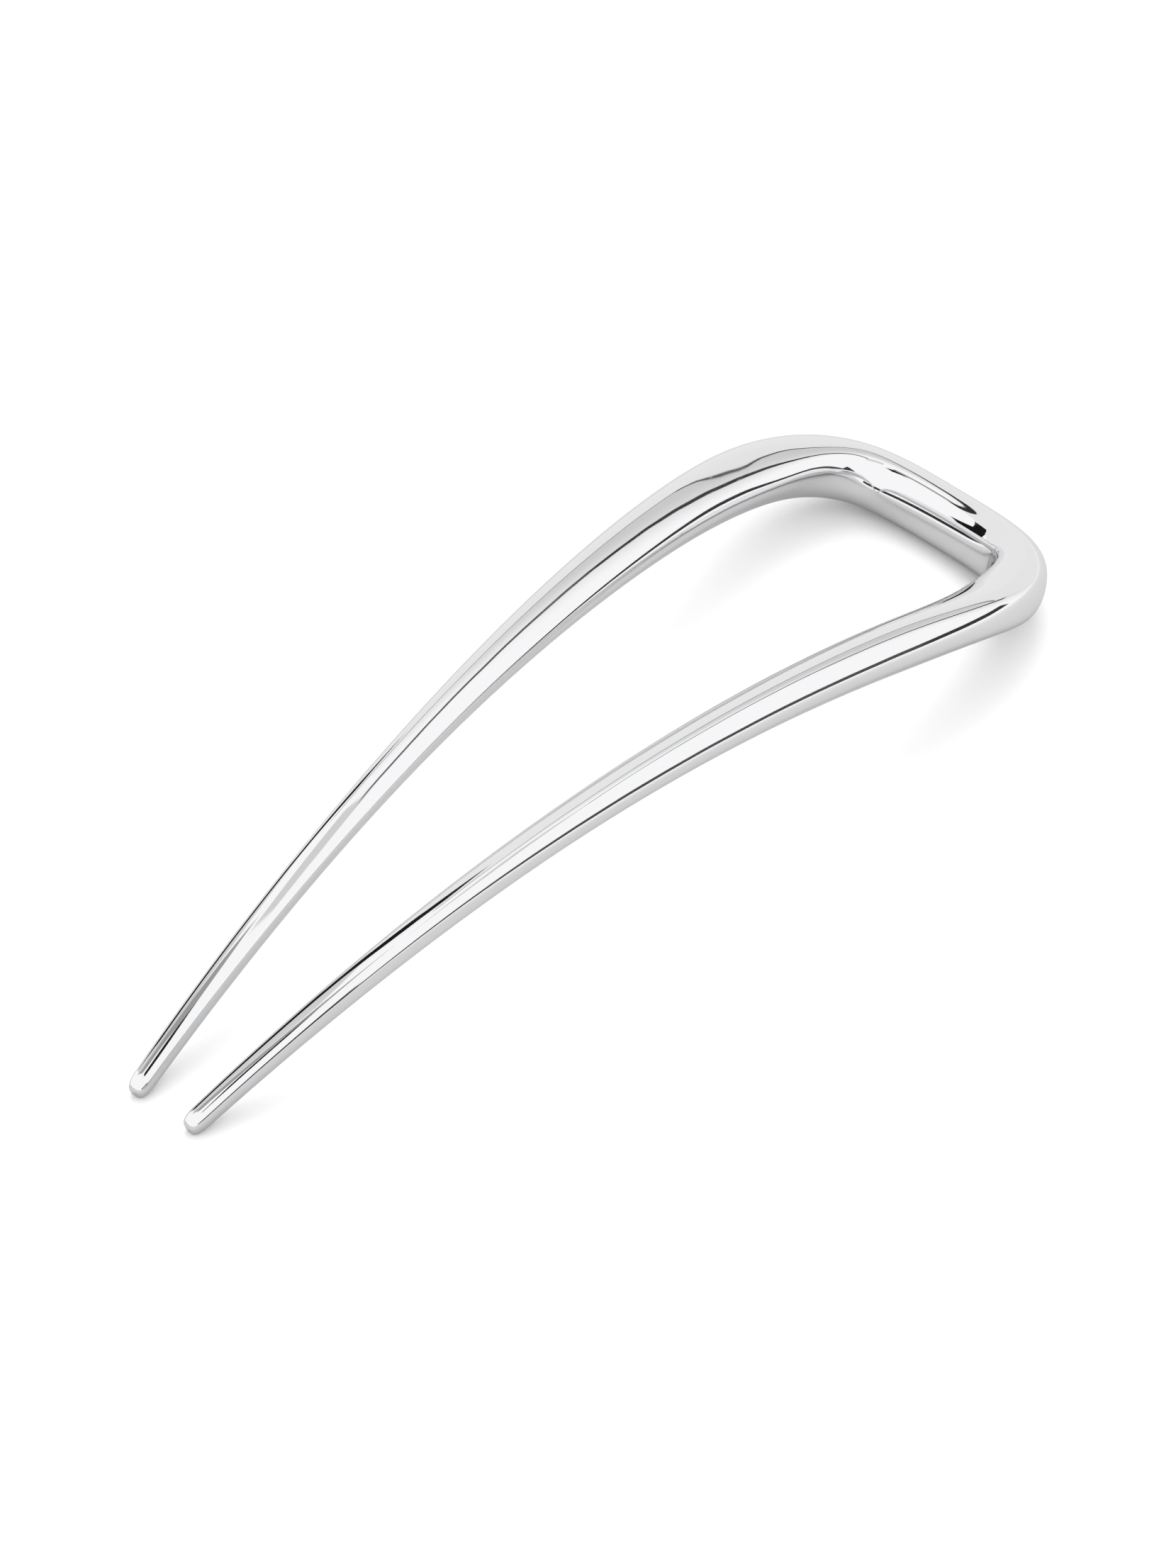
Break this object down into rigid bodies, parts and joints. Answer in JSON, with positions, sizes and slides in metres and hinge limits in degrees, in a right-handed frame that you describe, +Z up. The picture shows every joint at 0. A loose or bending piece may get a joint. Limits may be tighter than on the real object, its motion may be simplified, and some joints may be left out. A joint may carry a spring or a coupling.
{
  "type": "hair pin",
  "caption": "Arched U-shaped metal hair pin with a thick rounded crown and tapering blunt-tipped tines, for holding a bun or twist.",
  "frame": {"origin": "middle of the bounding box's floor: the pin rests on z = 0 on its two tips and its crown", "axes": "+X from the tips to the crown, +Y to the left tine, +Z up through the top of the arch"},
  "size_m": [0.1246, 0.0384, 0.0168],
  "materials": {
    "polished_metal": "mirror-polished, silver-toned, with slight hand-polishing waviness"
  },
  "bodies": {
    "root": {"crown": "polished_metal", "left_tine": "polished_metal", "right_tine": "polished_metal"}
  },
  "joints": []
}
